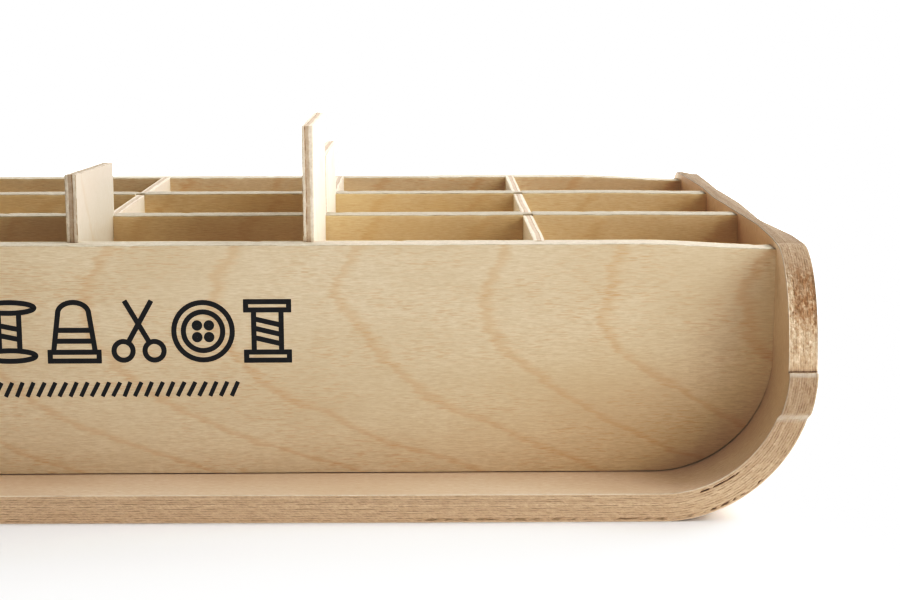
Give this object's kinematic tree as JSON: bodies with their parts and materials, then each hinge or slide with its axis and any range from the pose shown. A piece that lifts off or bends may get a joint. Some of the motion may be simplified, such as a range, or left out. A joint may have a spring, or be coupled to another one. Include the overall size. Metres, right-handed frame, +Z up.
{
  "type": "bobbin box",
  "caption": "Open plywood bobbin box: a bent U-shaped shell, inset end-to-end panels and row boards, with slide-in cross dividers making a grid of compartments.",
  "frame": {"origin": "centre of the underside, where the box stands", "axes": "+X along the box's length, +Y from the front panel to the back panel, +Z up"},
  "size_m": [0.624, 0.371, 0.1615],
  "materials": {
    "shell_plywood": "matte, sanded faces with rough end-grain edges",
    "panel_plywood": "satin clear-coated birch face",
    "board_plywood": "matte birch face",
    "divider_plywood": "matte poplar face with a three-ply edge"
  },
  "bodies": {
    "root": {"bent_shell": "shell_plywood", "front_panel": "panel_plywood", "back_panel": "panel_plywood", "front_row_board": "board_plywood", "rear_row_board": "board_plywood"},
    "divider_front_1": {"divider_front_1": "divider_plywood"},
    "divider_front_2": {"divider_front_2": "divider_plywood"},
    "divider_front_3": {"divider_front_3": "divider_plywood"},
    "divider_front_4": {"divider_front_4": "divider_plywood"},
    "divider_front_5": {"divider_front_5": "divider_plywood"},
    "divider_middle_1": {"divider_middle_1": "divider_plywood"},
    "divider_middle_2": {"divider_middle_2": "divider_plywood"},
    "divider_middle_3": {"divider_middle_3": "divider_plywood"},
    "divider_middle_4": {"divider_middle_4": "divider_plywood"},
    "divider_middle_5": {"divider_middle_5": "divider_plywood"},
    "divider_rear_1": {"divider_rear_1": "divider_plywood"},
    "divider_rear_2": {"divider_rear_2": "divider_plywood"},
    "divider_rear_3": {"divider_rear_3": "divider_plywood"},
    "divider_rear_4": {"divider_rear_4": "divider_plywood"},
    "divider_rear_5": {"divider_rear_5": "divider_plywood"}
  },
  "joints": [
    {"name": "slide_front_1", "type": "slide", "parent": "root", "child": "divider_front_1", "axis": [0, 0, 1], "range_m": [0, 0.102]},
    {"name": "slide_front_2", "type": "slide", "parent": "root", "child": "divider_front_2", "axis": [0, 0, 1], "range_m": [0, 0.102]},
    {"name": "slide_front_3", "type": "slide", "parent": "root", "child": "divider_front_3", "axis": [0, 0, 1], "range_m": [-0.029, 0.073]},
    {"name": "slide_front_4", "type": "slide", "parent": "root", "child": "divider_front_4", "axis": [0, 0, 1], "range_m": [-0.0495, 0.0525]},
    {"name": "slide_front_5", "type": "slide", "parent": "root", "child": "divider_front_5", "axis": [0, 0, 1], "range_m": [0, 0.102]},
    {"name": "slide_middle_1", "type": "slide", "parent": "root", "child": "divider_middle_1", "axis": [0, 0, 1], "range_m": [0, 0.102]},
    {"name": "slide_middle_2", "type": "slide", "parent": "root", "child": "divider_middle_2", "axis": [0, 0, 1], "range_m": [0, 0.102]},
    {"name": "slide_middle_3", "type": "slide", "parent": "root", "child": "divider_middle_3", "axis": [0, 0, 1], "range_m": [0, 0.102]},
    {"name": "slide_middle_4", "type": "slide", "parent": "root", "child": "divider_middle_4", "axis": [0, 0, 1], "range_m": [-0.0285, 0.0735]},
    {"name": "slide_middle_5", "type": "slide", "parent": "root", "child": "divider_middle_5", "axis": [0, 0, 1], "range_m": [0, 0.102]},
    {"name": "slide_rear_1", "type": "slide", "parent": "root", "child": "divider_rear_1", "axis": [0, 0, 1], "range_m": [0, 0.102]},
    {"name": "slide_rear_2", "type": "slide", "parent": "root", "child": "divider_rear_2", "axis": [0, 0, 1], "range_m": [0, 0.102]},
    {"name": "slide_rear_3", "type": "slide", "parent": "root", "child": "divider_rear_3", "axis": [0, 0, 1], "range_m": [0, 0.102]},
    {"name": "slide_rear_4", "type": "slide", "parent": "root", "child": "divider_rear_4", "axis": [0, 0, 1], "range_m": [0, 0.102]},
    {"name": "slide_rear_5", "type": "slide", "parent": "root", "child": "divider_rear_5", "axis": [0, 0, 1], "range_m": [0, 0.102]}
  ]
}
